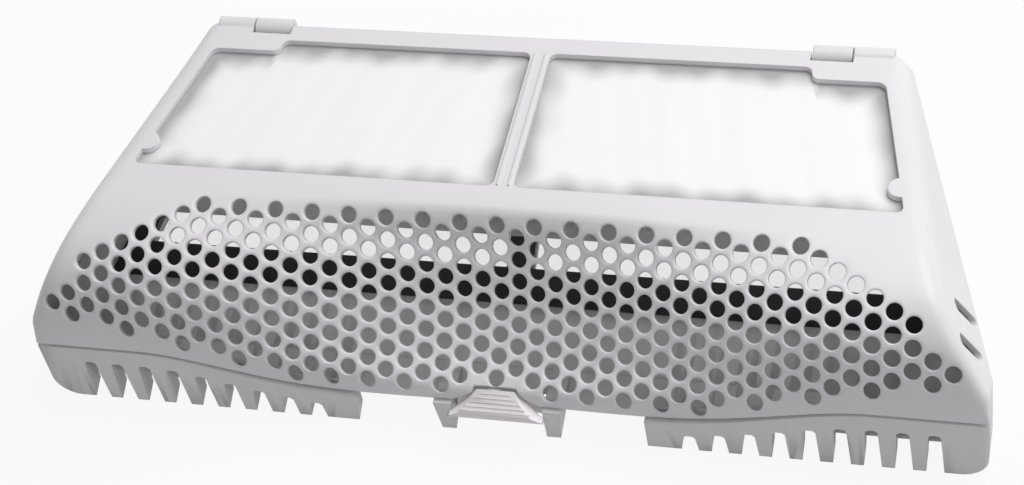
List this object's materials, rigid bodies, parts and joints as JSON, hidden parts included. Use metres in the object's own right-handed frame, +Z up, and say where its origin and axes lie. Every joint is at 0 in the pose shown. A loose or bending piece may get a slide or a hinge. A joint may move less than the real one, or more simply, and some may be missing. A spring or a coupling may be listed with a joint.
{
  "type": "lint filter",
  "caption": "Wedge-shaped tumble dryer lint filter: two hinged leaves with mesh windows, a perforated curved grille, comb feet and a sprung finger catch.",
  "frame": {"origin": "on the resting plane, under the middle of the closed filter", "axes": "+X along the hinge to the right as seen from the front, +Y from the grille to the hinge, +Z up"},
  "size_m": [0.357, 0.1536, 0.0587],
  "materials": {
    "lower_leaf": "satin light grey moulding",
    "upper_leaf": "satin grey-white moulding",
    "catch": "satin pale moulding",
    "screen_frame": "dark satin moulding",
    "mesh": "fine white woven mesh",
    "pin": "drawn wire"
  },
  "bodies": {
    "lower": {"lower_leaf": "lower_leaf", "screen_frame": "screen_frame", "lower_screen_left": "mesh", "lower_screen_right": "mesh", "hinge_pin_left": "pin", "hinge_pin_right": "pin"},
    "upper": {"upper_leaf": "upper_leaf", "upper_screen_left": "mesh", "upper_screen_right": "mesh"},
    "catch": {"catch": "catch"}
  },
  "joints": [
    {"name": "leaf_hinge", "type": "hinge", "parent": "lower", "child": "upper", "pos_m": [0, 0.07284, 0.01421], "axis": [-1, 0, 0], "range_deg": [0, 110]},
    {"name": "catch_press", "type": "hinge", "parent": "lower", "child": "catch", "pos_m": [0, -0.06662, 0.00454], "axis": [1, 0, 0], "range_deg": [0, 6], "stiffness_Nm_per_rad": 0.5}
  ]
}
